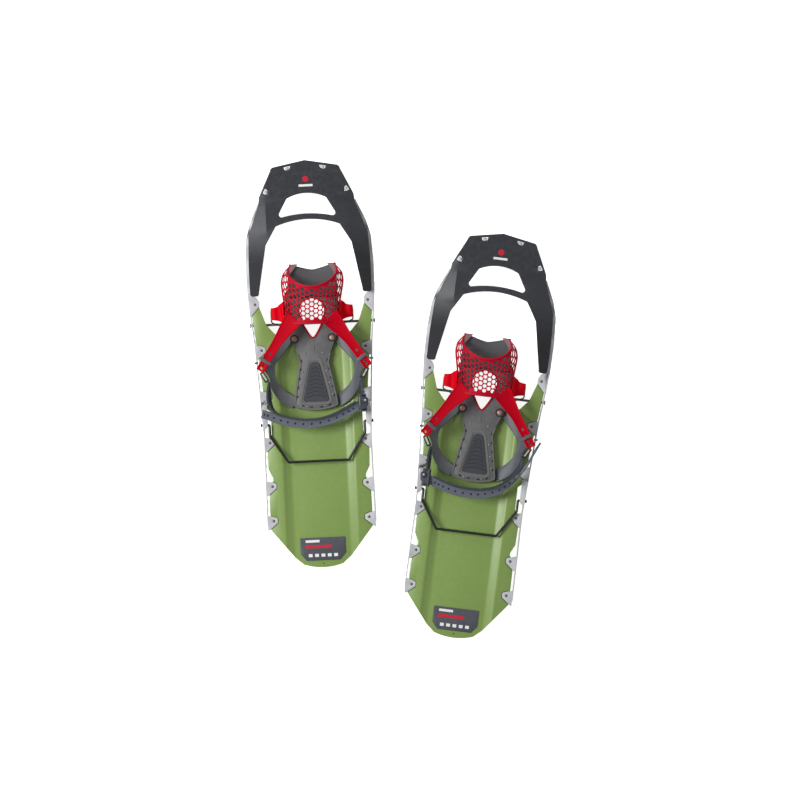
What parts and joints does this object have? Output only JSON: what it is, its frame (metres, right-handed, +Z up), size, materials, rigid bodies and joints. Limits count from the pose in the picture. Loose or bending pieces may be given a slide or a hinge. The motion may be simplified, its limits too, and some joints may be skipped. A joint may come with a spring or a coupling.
{
  "type": "snowshoe pair",
  "caption": "Moulded-deck snowshoes with toothed steel side rails, upturned nose, pivoting strap binding and flip-up heel lift.",
  "frame": {"origin": "ground, under the middle of the pair's bounding box", "axes": "+Y towards the toes, +X to the right shoe, +Z up; each shoe is turned a little about +Z as the pair lies"},
  "size_m": [0.4886, 0.7513, 0.084],
  "materials": {
    "moss_plastic": "moulded deck plastic, fine texture",
    "charcoal_plastic": "moulded nose plastic, fine texture",
    "bare_steel": "stamped and zinc-plated steel",
    "dark_rivet": "dull rivet steel",
    "copper_rivet": "copper-coloured rivet",
    "crampon_steel": "stamped steel",
    "black_wire": "black coated spring wire",
    "black_nylon": "nylon sleeve",
    "grey_plastic": "binding base plastic",
    "dark_rubber": "ribbed tread pad",
    "grey_elastomer": "flexible harness elastomer",
    "slate_elastomer": "flexible strap elastomer",
    "slate_plastic": "buckle plastic",
    "red_elastomer": "flexible net and strap elastomer",
    "badge_grey": "label plate"
  },
  "bodies": {
    "left_frame": {"left_deck": "moss_plastic", "left_nose": "charcoal_plastic", "left_outer_rail": "bare_steel", "left_inner_rail": "bare_steel", "left_toe_rail": "bare_steel", "left_nose_rivets": "bare_steel", "left_deck_rivets": "dark_rivet", "left_axle": "bare_steel", "left_axle_caps": "bare_steel", "left_tail_badge": "badge_grey"},
    "left_bail": {"left_heel_lift_bail": "black_wire", "left_bail_caps": "black_wire"},
    "left_binding": {"left_crampon": "crampon_steel", "left_axle_bushings": "black_nylon", "left_footbed": "grey_plastic", "left_tread_pad": "dark_rubber", "left_harness_rivets": "copper_rivet", "left_footbed_studs": "bare_steel", "left_harness": "grey_elastomer", "left_toe_net": "red_elastomer", "left_toe_loops": "black_wire", "left_inner_instep_strap": "red_elastomer", "left_outer_instep_strap": "red_elastomer", "left_strap_keepers": "grey_elastomer", "left_strap_pegs": "bare_steel", "left_heel_strap_loops": "black_wire", "left_heel_strap": "slate_elastomer", "left_buckle_frame": "slate_plastic", "left_buckle_pin": "bare_steel"},
    "left_lever": {"left_buckle_lever": "slate_plastic"},
    "right_frame": {"right_deck": "moss_plastic", "right_nose": "charcoal_plastic", "right_outer_rail": "bare_steel", "right_inner_rail": "bare_steel", "right_toe_rail": "bare_steel", "right_nose_rivets": "bare_steel", "right_deck_rivets": "dark_rivet", "right_axle": "bare_steel", "right_axle_caps": "bare_steel", "right_tail_badge": "badge_grey"},
    "right_bail": {"right_heel_lift_bail": "black_wire", "right_bail_caps": "black_wire"},
    "right_binding": {"right_crampon": "crampon_steel", "right_axle_bushings": "black_nylon", "right_footbed": "grey_plastic", "right_tread_pad": "dark_rubber", "right_harness_rivets": "copper_rivet", "right_footbed_studs": "bare_steel", "right_harness": "grey_elastomer", "right_toe_net": "red_elastomer", "right_toe_loops": "black_wire", "right_inner_instep_strap": "red_elastomer", "right_outer_instep_strap": "red_elastomer", "right_strap_keepers": "grey_elastomer", "right_strap_pegs": "bare_steel", "right_heel_strap_loops": "black_wire", "right_heel_strap": "slate_elastomer", "right_buckle_frame": "slate_plastic", "right_buckle_pin": "bare_steel"},
    "right_lever": {"right_buckle_lever": "slate_plastic"}
  },
  "joints": [
    {"name": "left_binding_pivot", "type": "hinge", "parent": "left_frame", "child": "left_binding", "pos_m": [-0.13894, 0.12102, 0.016], "axis": [-0.9989, -0.0471, 0], "range_deg": [0, 80]},
    {"name": "left_heel_lift", "type": "hinge", "parent": "left_frame", "child": "left_bail", "pos_m": [-0.13152, -0.03631, 0.031], "axis": [-0.9989, -0.0471, 0], "range_deg": [0, 90]},
    {"name": "left_buckle_flip", "type": "hinge", "parent": "left_binding", "child": "left_lever", "pos_m": [-0.06314, -0.00455, 0.055], "axis": [0.0471, -0.9989, 0], "range_deg": [0, 110]},
    {"name": "right_binding_pivot", "type": "hinge", "parent": "right_frame", "child": "right_binding", "pos_m": [0.12987, 0.00725, 0.016], "axis": [-0.9923, 0.1236, 0], "range_deg": [0, 80]},
    {"name": "right_heel_lift", "type": "hinge", "parent": "right_frame", "child": "right_bail", "pos_m": [0.1104, -0.14904, 0.031], "axis": [-0.9923, 0.1236, 0], "range_deg": [0, 90]},
    {"name": "right_buckle_flip", "type": "hinge", "parent": "right_binding", "child": "right_lever", "pos_m": [0.04342, -0.12205, 0.055], "axis": [0.1236, 0.9923, 0], "range_deg": [0, 110]},
    {"name": "right_shoe_lift", "type": "slide", "parent": "left_frame", "child": "right_frame", "axis": [0, 0, 1], "range_m": [0, 0.3]}
  ]
}
